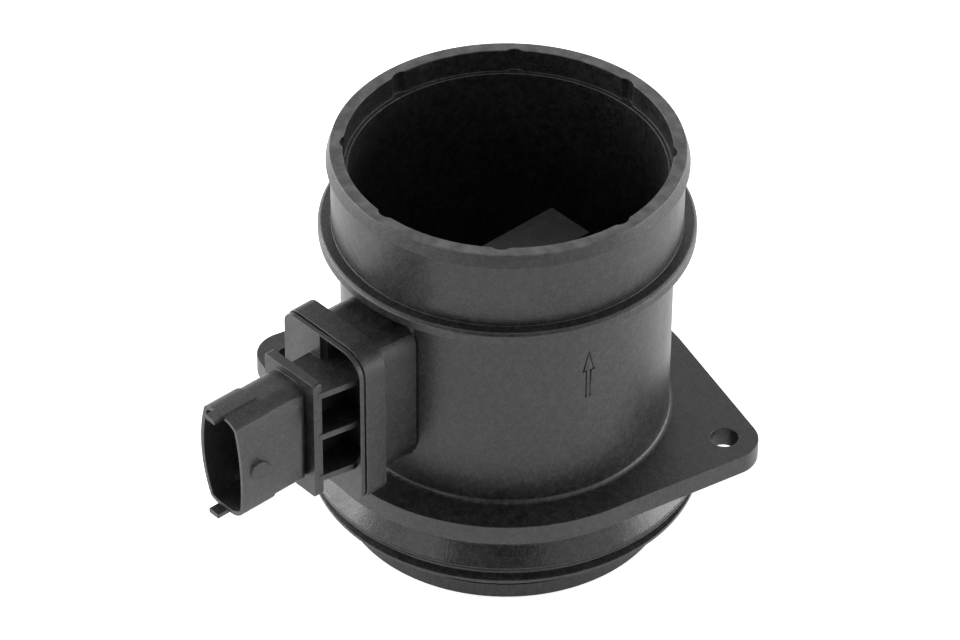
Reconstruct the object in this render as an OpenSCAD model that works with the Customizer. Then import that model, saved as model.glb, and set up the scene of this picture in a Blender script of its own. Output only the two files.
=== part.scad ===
// Mass airflow sensor for an engine air intake, in millimetres.
// The duct stands on its inlet end, the air flows along +Z, and the connector points to -Y.
// Distances out along the connector are measured from the duct's axis and grow towards -Y.

/* [Air duct] */
// Height of the whole duct, inlet face to outlet rim
duct_h = 103.3; // [100:0.1:115]
// Inside radius of the duct
bore_r = 37.0; // [35:0.1:38.5]
// Wall of the barrel
barrel_wall = 2.1; // [1.7:0.1:2.6]
// Fillet where the barrel meets the flange
barrel_fillet = 1.0; // [0.4:0.1:1.6]

/* [Outlet spigot] */
// Length of the spigot above the collar
spigot_len = 20.2; // [15:0.1:21]
// Wall of the spigot
spigot_wall = 3.0; // [2.2:0.1:4]
// Depth of the counterbore in the rim
mouth_depth = 6.0; // [3:0.1:10]
// Width of the ledge at the foot of the counterbore
mouth_ledge = 1.0; // [0.5:0.1:1.2]
// Height of the hose bead
bead_h = 3.4; // [2.4:0.1:5]
// How far the bead stands proud of the spigot
bead_out = 1.0; // [0.6:0.1:1.6]
// How far the collar stands proud of the spigot
collar_out = 3.1; // [2:0.1:5]
// Thickness of the collar
collar_t = 2.8; // [2:0.1:3]
// Number of notches round the rim
notch_count = 8; // [4:1:12]
// Depth of a rim notch
notch_depth = 0.8; // [0.4:0.1:1.2]

/* [Mounting flange] */
// Height of the flange's underside above the inlet face
flange_z = 23.8; // [21:0.1:27]
// Thickness of the flange
flange_t = 5.2; // [4:0.1:7]
// Radius of the round part of the flange
flange_r = 48.0; // [45:0.1:50]
// Distance between the two screw holes
ear_pitch = 107.8; // [104:0.1:116]
// Diameter of a screw hole
ear_hole_d = 6.7; // [5.5:0.1:8.5]
// Radius of the end of an ear
ear_end_r = 8.2; // [7.5:0.1:10]
// Turn of the ears from +X, in degrees
ear_turn = 31.4; // [26:0.1:38]

/* [Inlet end] */
// Wall of the inlet stub
stub_wall = 2.4; // [2.2:0.1:3]
// Outside radius of the seal ring
seal_r = 47.8; // [45:0.1:50]
// Height of the underside of the seal's disc
seal_z = 12.5; // [11.5:0.1:14]
// Thickness of the seal's disc
seal_t = 2.9; // [2:0.1:4]
// Height of the ring that closes the inlet end
end_ring_h = 4.2; // [3.6:0.1:4.6]
// Wall of that ring
end_ring_wall = 1.2; // [0.9:0.1:1.5]
// Height of the honeycomb
comb_h = 12.6; // [6:0.1:14]
// Distance from one honeycomb cell to the next
comb_pitch = 6.6; // [6.4:0.1:9]
// Wall between two cells
comb_wall = 0.7; // [0.5:0.1:1.2]
// Distance from one wire of the screen to the next
screen_pitch = 6.2; // [6.1:0.1:9]
// Width of a wire of the screen
screen_wire = 0.6; // [0.4:0.1:1]

/* [Sensor insert] */
// Height of the insert's middle above the inlet face
insert_z = 57.2; // [56:0.1:58.4]
// Height of the insert's cap
cap_h = 41.6; // [39.4:0.1:42]
// Width of the insert's cap
cap_w = 26.4; // [25.4:0.1:28]
// Distance from the pad's face to the face of the cap
cap_t = 1.5; // [1.2:0.1:2.5]
// Thickness of the housing's pad round the insert
pad_t = 6.0; // [5.4:0.1:8]
// Length of the housing's neck between barrel and pad
neck_len = 10.5; // [9.5:0.1:13]
// Width of the measuring arm across the flow
arm_w = 13.0; // [12.6:0.1:13.6]
// Height of the measuring arm along the flow
arm_h = 29.4; // [29:0.1:30.2]
// How far the arm reaches past the duct's axis
arm_reach = 20.4; // [19.6:0.1:24]
// Thickness of the two covers on the arm
cover_t = 1.2; // [0.8:0.1:1.5]

/* [Connector] */
// Distance from the cap to the shield plate
plate_gap = 7.4; // [5:0.1:10]
// Thickness of the shield plate
plate_t = 2.5; // [1.8:0.1:3.5]
// Width of the shield plate
plate_w = 17.0; // [16:0.1:19]
// Height of the shield plate
plate_h = 32.7; // [31:0.1:34]
// Length of the slim root of the shroud
root_len = 10.6; // [8:0.1:14]
// Length of the shroud in front of its root
shroud_len = 9.6; // [8:0.1:12]
// Width of the shroud
shroud_w = 14.9; // [14.4:0.1:16]
// Height of the shroud
shroud_h = 27.7; // [27:0.1:29]
// Wall of the shroud
shroud_wall = 1.1; // [0.9:0.1:1.3]
// Distance from one terminal to the next
terminal_pitch = 4.2; // [3.6:0.1:4.3]
// Length of a terminal inside the shroud
terminal_reach = 11.0; // [8:0.1:13]

/* [Hidden] */
$fn = 96;

// Clearances: a slide fit, and a cover in its rebate
slide_gap = 0.15;
cover_gap = 0.1;
// Overshoot of a cut, and how far a tangent line cuts into the arcs that it joins
over = 1;
tangent_bite = 0.02;

// Radii of the duct, from the bore outwards
barrel_r = bore_r + barrel_wall;
stub_r = bore_r + stub_wall;
neck_r = stub_r + 1.1;
mouth_r = bore_r + mouth_ledge;
spigot_r = mouth_r + spigot_wall;
bead_r = spigot_r + bead_out;
collar_r = spigot_r + collar_out;
ear_r = ear_pitch / 2;
far_ear_turn = 1.0;
far_ear_out = 0.5;

// Heights of the duct, from the inlet face upwards
flange_top = flange_z + flange_t;
collar_top = duct_h - spigot_len;
mouth_z = duct_h - mouth_depth;
bead_land = 0.8;
bead_chamfer = 0.9;
collar_chamfer = 0.7;
notch_w = 4.0;
notch_r = (pow(notch_w / 2, 2) + pow(notch_depth, 2)) / (2 * notch_depth);

// Inlet end: the ring's lip carries the screen, and the screen the honeycomb, up to its step
ring_seat_r = stub_r - 0.6;
ring_lip_t = 1.2;
ring_lip_w = 1.6;
ring_chamfer = 0.4;
screen_t = 0.8;
screen_rim_w = 2.0;
stub_z = ring_lip_t + screen_t;
comb_seat_r = bore_r + 0.8;
comb_rim = 1.0;
land_r = ring_seat_r + end_ring_wall;
land_z = end_ring_h + 0.2;
land_h = 1.2;
snap_z = stub_z + 0.5;
snap_h = 0.8;
snap_out = 0.3;

// Rubber seal ring on the stub, held up by a bead below it
seal_top = seal_z + seal_t;
seal_hub_drop = 4.3;
seal_foot_z = seal_z - seal_hub_drop;
seal_hub_r = stub_r + 2.6;
seal_edge = 0.6;
seal_bead_h = 0.9;
seal_bead_out = 0.9;
seal_lip_w = 0.6;
seal_lip_h = 0.25;

// Engraved flow arrow on the barrel
arrow_turn = -14;
arrow_z = 57.5;
arrow_len = 12.9;
arrow_head_len = 5.3;
arrow_head_w = 2.7;
arrow_shaft_w = 1.05;
arrow_line = 0.4;
arrow_depth = 0.35;

// Distances out along the connector, from the duct's axis
pad_back = barrel_r + neck_len;
pad_front = pad_back + pad_t;
tray_seat = pad_back + 1.2;
tray_floor_t = 1.2;
cap_gap = 0.3;
cap_front = pad_front + cap_t;
plate_back = cap_front + plate_gap;
plate_front = plate_back + plate_t;
root_front = plate_front + root_len;
mouth_front = root_front + shroud_len;
key_front = mouth_front + 3.0;
socket_back_wall = 3.5;
socket_floor = plate_front + socket_back_wall;
plug_end = barrel_r + 1.7;

// Outline of the cap, and of the pad and the socket behind it
corner_small = 3.2;
corner_large = 6.0;
pad_rim = 0.3;
tray_inset = 0.75;
recess_rim = 0.4;
recess_step = 1.05;
recess_block_z = 14.3;
recess_block_foot = 6.5;
recess_block_x = 0.6;
recess_corner = 8.0;
recess_small_corner = 0.5;
neck_inset_x = 2.3;
neck_inset_z = 0.9;
neck_corner = 6.0;

// Plug of the insert in the neck, and its seal
plug_w = 17.2;
plug_h = arm_h + 2.8;
plug_corner = 2.5;
groove_depth = 1.4;
groove_w = 3.0;
groove_d = plug_end + 3.2;
seal_rib = 0.8;

// Ribs between cap and shield plate
axis_z = insert_z + 0.8;
rib_t = 1.7;
rib_plate_w = 17.4;
rib_cap_w = 20.8;
rib_pitch = 12.15;
web_w = 5.0;
roof_left = 4.3;
plate_corner = 0.8;

// Shroud: two bulged sides, and a rounded box round them
bulge_near_r = 66;
bulge_near_z = -3.0;
bulge_far_r = 38;
bulge_far_z = 1.5;
shroud_corner_a = 5.0;
shroud_corner_b = 6.2;
root_inset = 0.4;
root_rise = 1.5;
root_w = 9.6;
root_round = 5.7;
root_round_len = 4.6;
key_w = 3.2;
key_t = 1.3;
key_groove = 0.4;
latch_h = 5.0;
latch_len = 5.0;
latch_out = 1.5;
latch_nose_out = 0.4;
latch_land = 0.8;
latch_round = 2.4;
latch_slope = 2.0;
latch_back = root_front + 2.3;
latch_z = axis_z - 0.2;

// Measuring arm: electronics bay by the plug, bypass channel at the tip
arm_mid = insert_z - 0.2;
arm_top = arm_mid + arm_h / 2;
arm_foot = arm_mid - arm_h / 2;
arm_face = arm_w / 2;
bay_start = -32.8;
bay_end = -3.6;
bay_h = 23.6;
bay_floor = -1.2;
bay_corner = 2.0;
rebate = 1.0;
cover_lip = 0.8;
channel_start = -0.4;
channel_end = arm_reach - 2.2;
channel_floor = -arm_face + 1.6;
channel_wall = 2.1;
channel_h = arm_h - 2 * channel_wall;
channel_corner = 5.0;
divider_start = 7.4;
divider_w = 2.2;
divider_top = 6.5;
inlet_side = 1.0;
outlet_h = 4.6;
outlet_w = 5.6;

// Electronics, stacked on the bay's floor
carrier_t = 0.8;
board_t = 0.72;
board_back = bay_floor + carrier_t;
board_face = board_back + board_t;
board_start = bay_start + 1.6;
board_end = bay_end - 0.8;
board_h = bay_h - 2;
tongue_h = 7.8;
tongue_end = 6.0;
slot_h = tongue_h + 2 * slide_gap;
slot_top = board_face + 0.6;
board_tongue_h = 4.4;
board_tongue_end = 0.6;
holder_start = board_tongue_end + 0.2;
holder_end = tongue_end - 0.4;
holder_h = 6.4;
holder_t = 0.9;
holder_face = board_back + holder_t;
chip_start = holder_start + 0.6;
chip_len = 3.2;
chip_h = 4.2;
chip_t = 0.4;
wire_r = 0.12;
wire_lift = 0.2;
chip_wire_count = 3;
chip_wire_pitch = 1.2;

// Components on the board: length, width and thickness, and height above or below the board's middle
evaluation_size = 7.0;
evaluation_t = 1.3;
evaluation_step = 0.3;
evaluation_back = 1.2;
evaluation_mark_in = 1.2;
evaluation_mark_r = 0.4;
evaluation_mark_depth = 0.15;
component_in = 5.0;
supply_size = [3.6, 2.4, 1.4];
supply_z = -6.5;
signal_size = [2.2, 1.4, 1.0];
signal_z = -6.0;
trim_size = [3.2, 1.7, 0.6];
trim_z = 5.5;
end_cap_len = 0.5;
end_cap_step = 0.05;
membrane = 1.4;
membrane_depth = 0.1;

// Terminals
terminal_count = 5;
terminal_t = 0.64;
terminal_h = 1.5;
terminal_taper = 1.2;
terminal_end = -bay_start - 1.1;
terminal_tip = socket_floor + terminal_reach;

// Air temperature probe in its recess on the arm's far side
probe_start = -27;
probe_end = -11;
probe_recess_h = 14;
probe_depth = 3.3;
probe_r = 1.1;
probe_len = 3.4;
probe_x = -arm_face + 1.7;
lead_r = 0.3;
lead_inset = 1.6;
lead_tail = 0.5;

housing_black = "#2c2c2e";
module_black = "#333335";
rubber_black = "#3a3a3b";
metal_grey = "#b9bcc0";
board_white = "#d9d7cf";
chip_dark = "#1c1d22";
part_tan = "#8a7a62";
gold = "#c9a24a";

// Placing helpers

// A flat outline in x and z, from one distance out along the connector to another
module outward(from, to) {
    translate([0, -from, 0]) rotate([90, 0, 0]) linear_extrude(to - from) children();
}

// A flat outline in y and z, from one x to another
module across(from, to) {
    translate([from, 0, 0]) rotate([90, 0, 90]) linear_extrude(to - from) children();
}

// A box between its low and its high corner
module block(low, high) {
    translate(low) cube(high - low);
}

// Rectangle about a centre with two corner radii, the first at upper left and lower right
module two_radius_box(w, h, r_a, r_b) {
    difference() {
        square([w, h], center = true);
        for (turn = [0, 180]) rotate(turn) {
            translate([w / 2 - r_b, h / 2 - r_b]) corner_waste(r_b);
            translate([w / 2 - r_a, r_a - h / 2]) rotate(-90) corner_waste(r_a);
        }
    }
}

// What a corner of this radius leaves over of its square
module corner_waste(r) {
    difference() {
        square(r + over);
        circle(r);
    }
}

// Straight line of an engraving, between two points
module stroke(a, b, w) {
    run = b - a;
    translate(a) rotate(atan2(run[1], run[0]))
        translate([-w / 2, -w / 2]) square([norm(run) + w, w]);
}

// Outlines that more than one piece uses

module cap_outline(inset = 0) {
    translate([0, insert_z])
        two_radius_box(cap_w - 2 * inset, cap_h - 2 * inset, corner_small - inset, corner_large - inset);
}

module plug_outline(inset = 0) {
    r = plug_corner - inset;
    translate([0, arm_mid]) two_radius_box(plug_w - 2 * inset, plug_h - 2 * inset, r, r);
}

module shroud_outline(inset = 0) {
    translate([0, axis_z]) intersection() {
        two_radius_box(shroud_w - 2 * inset, shroud_h - 2 * inset,
                       shroud_corner_a - inset, shroud_corner_b - inset);
        translate([shroud_w / 2 - bulge_near_r, bulge_near_z]) circle(bulge_near_r - inset, $fn = 360);
        translate([bulge_far_r - shroud_w / 2, bulge_far_z]) circle(bulge_far_r - inset, $fn = 360);
    }
}

module bay_outline(grow = 0) {
    r = bay_corner + grow;
    translate([(bay_start + bay_end) / 2, arm_mid])
        two_radius_box(bay_end - bay_start + 2 * grow, bay_h + 2 * grow, r, r);
}

module channel_outline(grow = 0) {
    r = channel_corner + grow;
    translate([(channel_start + channel_end) / 2, arm_mid])
        two_radius_box(channel_end - channel_start + 2 * grow, channel_h + 2 * grow, r, r);
}

// Flange: a disc joined to its two ears by their common tangents
module flange_outline() {
    circle(flange_r, $fn = 180);
    rotate(ear_turn) ear_outline(ear_r);
    rotate(ear_turn + 180 - far_ear_turn) ear_outline(ear_r + far_ear_out);
}

// Ear with its round end, joined to the flange's rim by two straight sides
module ear_outline(reach) {
    lean = acos((flange_r - ear_end_r) / reach);
    near = (flange_r - tangent_bite) * [cos(lean), sin(lean)];
    far = [reach, 0] + (ear_end_r - tangent_bite) * [cos(lean), sin(lean)];
    translate([reach, 0]) circle(ear_end_r);
    polygon([[0, 0], [near[0], -near[1]], [far[0], -far[1]], far, near]);
}

// Flow housing

// Section of the duct from the bore out to the barrel, spigot, bead and collar
module duct_section() {
    difference() {
        polygon([
            [comb_seat_r, stub_z], [ring_seat_r, stub_z], [ring_seat_r, land_z], [land_r, land_z],
            [land_r, land_z + land_h / 4], [stub_r, land_z + land_h],
            [stub_r, seal_foot_z - seal_bead_h], [stub_r + seal_bead_out, seal_foot_z - seal_bead_h / 3],
            [stub_r + seal_bead_out, seal_foot_z], [stub_r, seal_foot_z], [stub_r, seal_top],
            [neck_r, seal_top], [neck_r, flange_z + flange_t / 2],
            [barrel_r, flange_z + flange_t / 2], [barrel_r, collar_top - collar_t],
            [collar_r, collar_top - collar_t], [collar_r, collar_top - collar_chamfer],
            [collar_r - collar_chamfer, collar_top], [spigot_r, collar_top],
            [spigot_r, duct_h - bead_h], [bead_r, duct_h - bead_h],
            [bead_r, duct_h - bead_land], [bead_r - bead_chamfer, duct_h],
            [mouth_r, duct_h], [mouth_r, mouth_z], [bore_r, mouth_z],
            [bore_r, stub_z + comb_h], [comb_seat_r, stub_z + comb_h],
        ]);
        translate([ring_seat_r - snap_out, snap_z]) square([snap_out + over, snap_h]);
    }
    translate([barrel_r, flange_top]) difference() {
        translate([-over, -over]) square(barrel_fillet + over);
        translate([barrel_fillet, barrel_fillet]) circle(barrel_fillet);
    }
}

module pad_and_neck() {
    outward(pad_back, pad_front) cap_outline(-pad_rim);
    outward(barrel_r - barrel_wall / 2, pad_back + over) translate([0, insert_z])
        two_radius_box(cap_w - 2 * neck_inset_x, cap_h - 2 * neck_inset_z, neck_corner, neck_corner);
}

module insert_cavity() {
    outward(tray_seat, pad_front + over) cap_outline(tray_inset - slide_gap);
    outward(plug_end - slide_gap, tray_seat + over) plug_outline(-slide_gap);
    block([-arm_face - 2 * slide_gap, -plug_end - over, arm_foot - 2 * slide_gap],
          [arm_face + 2 * slide_gap, 0, arm_top + 2 * slide_gap]);
}

module rim_notches() {
    for (i = [0 : notch_count - 1]) rotate(i * 360 / notch_count)
        translate([mouth_r + notch_depth - notch_r, 0, mouth_z]) cylinder(r = notch_r, h = mouth_depth + over);
}

module flow_arrow() {
    neck = arrow_len - arrow_head_len;
    tip = [0, arrow_len];
    rotate(arrow_turn) translate([barrel_r - arrow_depth, 0, arrow_z]) rotate([90, 0, 90])
        linear_extrude(arrow_depth + over) for (side = [-1, 1]) {
            barb = [side * arrow_head_w / 2, neck];
            shoulder = [side * arrow_shaft_w / 2, neck];
            stroke(tip, barb, arrow_line);
            stroke(barb, shoulder, arrow_line);
            stroke(shoulder, [side * arrow_shaft_w / 2, 0], arrow_line);
        }
}

module flow_housing() color(housing_black) {
    difference() {
        union() {
            rotate_extrude() duct_section();
            translate([0, 0, flange_z]) linear_extrude(flange_t) difference() {
                flange_outline();
                circle(barrel_r - barrel_wall / 2);
            }
            difference() {
                pad_and_neck();
                cylinder(r = barrel_r - barrel_wall / 2, h = duct_h);
            }
        }
        insert_cavity();
        rim_notches();
        flow_arrow();
        for (side = [0, 180]) rotate(ear_turn + side)
            translate([ear_r, 0, flange_z - over]) cylinder(d = ear_hole_d, h = flange_t + 2 * over);
    }
}

// Inlet end

module inlet_seal() color(rubber_black) {
    lip_r = seal_r - seal_lip_w;
    rotate_extrude() polygon([
        [stub_r, seal_foot_z], [seal_hub_r - seal_edge, seal_foot_z], [seal_hub_r, seal_foot_z + seal_edge],
        [seal_hub_r, seal_z], [seal_r - seal_edge, seal_z], [seal_r, seal_z + seal_edge],
        [seal_r, seal_top], [lip_r, seal_top], [lip_r, seal_top - seal_lip_h],
        [neck_r + seal_lip_h, seal_top - seal_lip_h], [neck_r, seal_top], [stub_r, seal_top],
    ]);
}

module end_ring() color(housing_black) {
    lip_r = bore_r - ring_lip_w;
    rotate_extrude() polygon([
        [lip_r, 0], [land_r - ring_chamfer, 0], [land_r, ring_chamfer], [land_r, end_ring_h],
        [ring_seat_r, end_ring_h], [ring_seat_r, snap_z + snap_h], [ring_seat_r - snap_out, snap_z + snap_h],
        [ring_seat_r - snap_out, snap_z + snap_h / 2], [ring_seat_r, snap_z], [ring_seat_r, ring_lip_t],
        [lip_r, ring_lip_t],
    ]);
}

module inlet_screen() color(metal_grey) {
    clear_r = bore_r - screen_rim_w;
    half = ceil(clear_r / screen_pitch);
    translate([0, 0, ring_lip_t]) linear_extrude(screen_t) {
        difference() {
            circle(ring_seat_r - slide_gap);
            circle(clear_r);
        }
        intersection() {
            circle(clear_r + screen_rim_w / 2);
            for (i = [-half : half], turn = [0, 90]) rotate(turn)
                translate([(i + 0.5) * screen_pitch, 0]) square([screen_wire, 2 * bore_r], center = true);
        }
    }
}

module flow_straightener() color(housing_black) {
    clear_r = comb_seat_r - slide_gap - comb_rim;
    row = comb_pitch * sqrt(3) / 2;
    rows = ceil(clear_r / row);
    cell_r = (comb_pitch - comb_wall) / sqrt(3);
    translate([0, 0, stub_z]) linear_extrude(comb_h) difference() {
        circle(comb_seat_r - slide_gap);
        intersection() {
            circle(clear_r);
            for (j = [-rows : rows], i = [-rows : rows]) {
                centre = [(i + (j % 2 == 0 ? 0 : 0.5)) * comb_pitch, j * row];
                if (norm(centre) < clear_r - comb_wall) translate(centre) rotate(30) circle(cell_r, $fn = 6);
            }
        }
    }
}

// Sensor insert

// Pocket in the cap: a band right across, and one corner of each side
module recess_outline(rim) {
    x = cap_w / 2 - rim;
    grow = recess_rim - rim;
    band = recess_block_foot + recess_block_z + 2 * grow;
    intersection() {
        cap_outline(rim);
        translate([0, insert_z]) union() {
            translate([0, (recess_block_foot - recess_block_z) / 2])
                two_radius_box(2 * x, band, recess_corner, recess_small_corner);
            for (turn = [0, 180]) rotate(turn)
                translate([-recess_block_x - grow, 0]) square([x + recess_block_x + grow, cap_h]);
        }
    }
}

module insert_head() {
    difference() {
        union() {
            outward(pad_front + cap_gap, cap_front) cap_outline();
            outward(tray_seat, pad_front + cap_gap) cap_outline(tray_inset);
            outward(plug_end, tray_seat) plug_outline();
        }
        outward(tray_seat + tray_floor_t, pad_front + cap_gap) recess_outline(recess_rim + recess_step);
        outward(pad_front + cap_gap, cap_front + over) recess_outline(recess_rim);
        outward(groove_d, groove_d + groove_w) difference() {
            plug_outline(-over);
            plug_outline(groove_depth);
        }
    }
}

// One rib, wider at the cap than at the shield plate
module rib(left, right_plate, right_cap, z) {
    out = plate_back + plate_t / 2;
    in = tray_seat + tray_floor_t / 2;
    translate([0, 0, z - rib_t / 2]) linear_extrude(rib_t)
        polygon([[-left, -out], [right_plate, -out], [right_cap, -cap_front], [right_cap, -in], [-left, -in]]);
}

module plate_and_ribs() {
    outward(plate_back, plate_front) translate([0, insert_z])
        two_radius_box(plate_w, plate_h, plate_corner, plate_corner);
    rib(roof_left, rib_plate_w / 2, rib_cap_w / 2, axis_z + rib_pitch);
    for (z = [axis_z, axis_z - rib_pitch]) rib(rib_plate_w / 2, rib_plate_w / 2, rib_cap_w / 2, z);
    block([-web_w / 2, -plate_back - plate_t / 2, axis_z - rib_pitch],
          [web_w / 2, -tray_seat - tray_floor_t / 2, axis_z + rib_pitch]);
}

// Root of the shroud, rounded in on both sides to its foot on the shield plate
module shroud_root() {
    foot = axis_z - shroud_h / 2 + root_rise;
    round_x = root_w / 2 - sqrt(pow(root_round, 2) - pow(root_round_len, 2));
    intersection() {
        outward(plate_back + plate_t / 2, root_front) shroud_outline(root_inset);
        translate([0, 0, foot]) linear_extrude(shroud_h) difference() {
            translate([-shroud_w / 2, -root_front]) square([shroud_w, root_front]);
            for (side = [0, 1]) mirror([side, 0])
                translate([round_x, -plate_front - root_round_len]) corner_waste(root_round);
        }
    }
}

// Coding keys that stand out past the mouth, one on the top wall and one on the bottom wall
module key_ribs() {
    for (side = [-1, 1]) translate([0, 0, axis_z + side * shroud_h / 2])
        block([-key_w / 2, -key_front, -key_t / 2], [key_w / 2, -root_front, key_t / 2]);
}

// Latch nose on the shroud's side: round towards the plug, and a ramp up to its back face
module latch_wedge() {
    base = shroud_w / 2 - shroud_wall;
    wall = shroud_w / 2;
    tip = latch_back + latch_len;
    intersection() {
        across(base, wall + latch_out) difference() {
            translate([-tip, latch_z - latch_h / 2]) square([latch_len, latch_h]);
            translate([latch_round - tip, latch_z]) for (side = [0, 1]) mirror([0, side])
                translate([0, latch_h / 2 - latch_round]) rotate(90) corner_waste(latch_round);
            translate([-latch_back, latch_z + latch_h / 2]) rotate(45)
                square(latch_slope * sqrt(2), center = true);
        }
        translate([0, 0, latch_z - latch_h]) linear_extrude(2 * latch_h) polygon([
            [base, -latch_back], [wall + latch_out, -latch_back], [wall + latch_out, -latch_back - latch_land],
            [wall + latch_nose_out, -tip], [base, -tip],
        ]);
    }
}

module socket() {
    outward(root_front, mouth_front + over) shroud_outline(shroud_wall);
    outward(socket_floor, root_front + over) intersection() {
        shroud_outline(shroud_wall + root_rise);
        translate([0, axis_z]) square([root_w - 2 * shroud_wall, shroud_h], center = true);
    }
}

module shroud() {
    difference() {
        union() {
            shroud_root();
            outward(root_front, mouth_front) shroud_outline();
            latch_wedge();
        }
        socket();
    }
    difference() {
        key_ribs();
        block([key_w / 2 - key_groove, -key_front - over, axis_z + shroud_h / 2],
              [key_w / 2 + over, -root_front, axis_z + shroud_h / 2 + key_t]);
    }
}

// One blade of the connector, with a tapered tip
module terminal(i) color(metal_grey) {
    translate([0, 0, axis_z + (i - (terminal_count + 1) / 2) * terminal_pitch])
        across(-terminal_t / 2, terminal_t / 2) polygon([
            [-terminal_end, -terminal_h / 2], [-terminal_end, terminal_h / 2],
            [-terminal_tip + terminal_taper, terminal_h / 2], [-terminal_tip, terminal_h / 4],
            [-terminal_tip, -terminal_h / 4], [-terminal_tip + terminal_taper, -terminal_h / 2],
        ]);
}

// Bypass channel: up past the inlet, over the divider, and down past the sensor chip
module bypass_channel() {
    foot = arm_mid - channel_h / 2;
    across(channel_floor, arm_face + over) difference() {
        channel_outline();
        translate([divider_start, foot - over]) square([divider_w, over + arm_mid + divider_top - foot]);
        translate([divider_start + divider_w / 2, arm_mid + divider_top]) circle(divider_w / 2);
    }
    block([channel_floor, divider_start + divider_w + inlet_side, arm_foot - over],
          [arm_face - cover_t - inlet_side, channel_end - inlet_side, foot + channel_corner]);
}

module probe_recess() {
    across(-arm_face - over, -arm_face + probe_depth) translate([(probe_start + probe_end) / 2, arm_mid])
        two_radius_box(probe_end - probe_start, probe_recess_h, bay_corner, bay_corner);
}

// Holes for the two bent leads of the temperature probe
module lead_holes(r) {
    for (y = [probe_start + lead_inset, probe_end - lead_inset])
        translate([probe_x, y, arm_mid]) rotate([0, 90, 0]) cylinder(r = r, h = board_face - probe_x + over);
}

module measuring_arm() {
    difference() {
        block([-arm_face, -plug_end - over, arm_foot], [arm_face, arm_reach, arm_top]);
        across(bay_floor, arm_face + over) bay_outline();
        across(arm_face - cover_t, arm_face + over) bay_outline(rebate);
        bypass_channel();
        across(arm_face - cover_t, arm_face + over) channel_outline(rebate);
        block([bay_floor, bay_end - over, arm_mid - slot_h / 2], [slot_top, channel_start + over, arm_mid + slot_h / 2]);
        probe_recess();
        lead_holes(lead_r);
    }
}

module module_body() color(module_black) {
    difference() {
        union() {
            insert_head();
            plate_and_ribs();
            shroud();
            measuring_arm();
        }
        for (i = [1 : terminal_count]) terminal(i);
    }
}

// Band in the plug's groove with two ribs that press on the housing
module module_seal() color(rubber_black) {
    outward(groove_d, groove_d + groove_w) difference() {
        plug_outline();
        plug_outline(groove_depth);
    }
    for (d = [groove_d, groove_d + groove_w - seal_rib]) outward(d, d + seal_rib) difference() {
        plug_outline(-slide_gap);
        plug_outline(over / 2);
    }
}

// Covers of the arm

module electronics_cover() color(module_black) {
    across(arm_face - cover_t, arm_face) bay_outline(rebate - cover_gap);
    across(arm_face - 2 * cover_t, arm_face - cover_t) difference() {
        bay_outline(-cover_gap);
        bay_outline(-cover_gap - cover_lip);
    }
}

module bypass_cover() color(module_black) {
    foot = arm_mid - channel_h / 2;
    middle = (channel_start + divider_start) / 2;
    across(arm_face - cover_t, arm_face) difference() {
        channel_outline(rebate - cover_gap);
        translate([middle - outlet_w / 2, foot + rebate]) square([outlet_w, outlet_h]);
    }
}

// Electronics

// Rectangle of a board with a tongue towards the bypass channel
module board_outline(tongue, reach) {
    translate([board_start, arm_mid - board_h / 2]) square([board_end - board_start, board_h]);
    translate([board_end - over, arm_mid - tongue / 2]) square([reach - board_end + over, tongue]);
}

module carrier_plate() color(metal_grey) {
    difference() {
        across(bay_floor, board_back) board_outline(tongue_h, tongue_end);
        lead_holes(2 * lead_r);
    }
}

module circuit_board() color(board_white) {
    difference() {
        across(board_back, board_face) board_outline(board_tongue_h, board_tongue_end);
        lead_holes(lead_r);
    }
}

// Moulded chip on the board: a body with a raised face and a mark at its first corner
module evaluation_chip() color(chip_dark) {
    size = evaluation_size;
    face = size - 2 * evaluation_step;
    mark = size / 2 - evaluation_mark_in;
    translate([board_face, (board_start + board_end) / 2 - evaluation_back, arm_mid]) difference() {
        union() {
            translate([0, -size / 2, -size / 2]) cube([evaluation_t - evaluation_step, size, size]);
            translate([0, -face / 2, -face / 2]) cube([evaluation_t, face, face]);
        }
        translate([evaluation_t - evaluation_mark_depth, -mark, mark]) rotate([0, 90, 0])
            cylinder(r = evaluation_mark_r, h = over);
    }
}

// Chip component with a metal cap at each end, lying along Z. Its size is length, width and thickness.
module end_capped(y, z, size, tint) {
    length = size[0];
    width = size[1];
    t = size[2];
    body = width - 2 * end_cap_step;
    translate([board_face, y, arm_mid + z]) color(tint) {
        translate([end_cap_step, -body / 2, -length / 2]) cube([t - 2 * end_cap_step, body, length]);
        for (side = [0, 1]) mirror([0, 0, side])
            translate([0, -width / 2, length / 2 - end_cap_len]) cube([t, width, end_cap_len]);
    }
}

module supply_capacitor() end_capped(board_start + component_in, supply_z, supply_size, part_tan);

module signal_capacitor() end_capped(board_end - component_in, signal_z, signal_size, part_tan);

module trim_resistor() end_capped(board_end - component_in, trim_z, trim_size, chip_dark);

module chip_holder() color(module_black) {
    difference() {
        block([board_back, holder_start, arm_mid - holder_h / 2], [holder_face, holder_end, arm_mid + holder_h / 2]);
        block([holder_face - chip_t, chip_start, arm_mid - chip_h / 2],
              [holder_face + over, chip_start + chip_len, arm_mid + chip_h / 2]);
    }
}

// Silicon chip with its thin membrane showing as a shallow window
module sensor_chip() color(chip_dark) {
    difference() {
        block([holder_face - chip_t, chip_start, arm_mid - chip_h / 2],
              [holder_face, chip_start + chip_len, arm_mid + chip_h / 2]);
        block([holder_face - membrane_depth, chip_start + chip_len / 2, arm_mid - membrane / 2],
              [holder_face + over, chip_start + chip_len / 2 + membrane, arm_mid + membrane / 2]);
    }
}

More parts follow.
